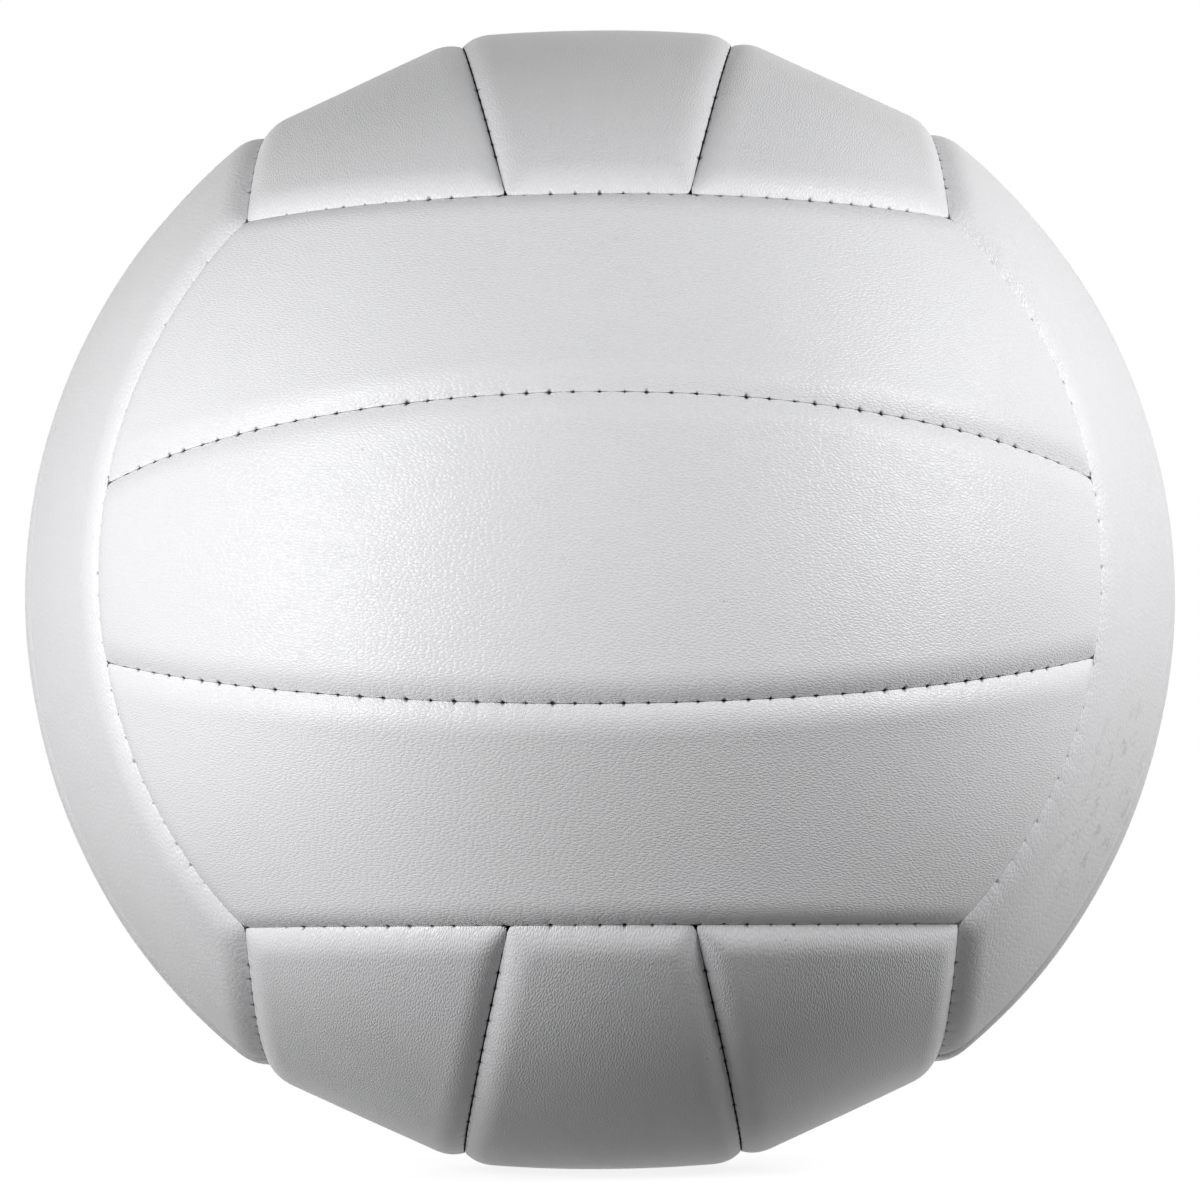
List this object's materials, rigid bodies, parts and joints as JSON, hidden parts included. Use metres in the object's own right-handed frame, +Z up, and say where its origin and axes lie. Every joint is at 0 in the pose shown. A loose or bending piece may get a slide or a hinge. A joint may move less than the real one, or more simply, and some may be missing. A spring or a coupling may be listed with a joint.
{
  "type": "volleyball",
  "caption": "White stitched volleyball of six three-strip faces over cloth linings and a rubber bladder, with a recessed needle valve in one strip.",
  "frame": {"origin": "centre of the ball", "axes": "+Z up; the front face with level strips looks towards -Y; +Y runs out through the valve"},
  "size_m": [0.21, 0.21, 0.21],
  "materials": {
    "cover": "semi-gloss synthetic leather with a fine grain",
    "lining": "plain woven cloth",
    "thread": "waxed thread",
    "bladder": "smooth",
    "valve": "matt moulded rubber",
    "core": "soft rubber",
    "patch": "rubbered cloth"
  },
  "bodies": {
    "root": {"front_upper_panel": "cover", "front_middle_panel": "cover", "front_lower_panel": "cover", "back_upper_panel": "cover", "back_middle_panel": "cover", "back_lower_panel": "cover", "left_front_panel": "cover", "left_middle_panel": "cover", "left_rear_panel": "cover", "right_front_panel": "cover", "right_middle_panel": "cover", "right_rear_panel": "cover", "top_left_panel": "cover", "top_middle_panel": "cover", "top_right_panel": "cover", "bottom_left_panel": "cover", "bottom_middle_panel": "cover", "bottom_right_panel": "cover", "front_upper_lining": "lining", "front_middle_lining": "lining", "front_lower_lining": "lining", "back_upper_lining": "lining", "back_middle_lining": "lining", "back_lower_lining": "lining", "left_front_lining": "lining", "left_middle_lining": "lining", "left_rear_lining": "lining", "right_front_lining": "lining", "right_middle_lining": "lining", "right_rear_lining": "lining", "top_left_lining": "lining", "top_middle_lining": "lining", "top_right_lining": "lining", "bottom_left_lining": "lining", "bottom_middle_lining": "lining", "bottom_right_lining": "lining", "front_strip_threads": "thread", "front_top_thread": "thread", "front_bottom_thread": "thread", "back_strip_threads": "thread", "back_top_thread": "thread", "back_bottom_thread": "thread", "left_strip_threads": "thread", "left_front_thread": "thread", "left_back_thread": "thread", "right_strip_threads": "thread", "right_front_thread": "thread", "right_back_thread": "thread", "top_strip_threads": "thread", "top_left_thread": "thread", "top_right_thread": "thread", "bottom_strip_threads": "thread", "bottom_left_thread": "thread", "bottom_right_thread": "thread", "bladder": "bladder", "valve_stem": "valve", "valve_core": "core", "valve_patch": "patch"}
  },
  "joints": []
}
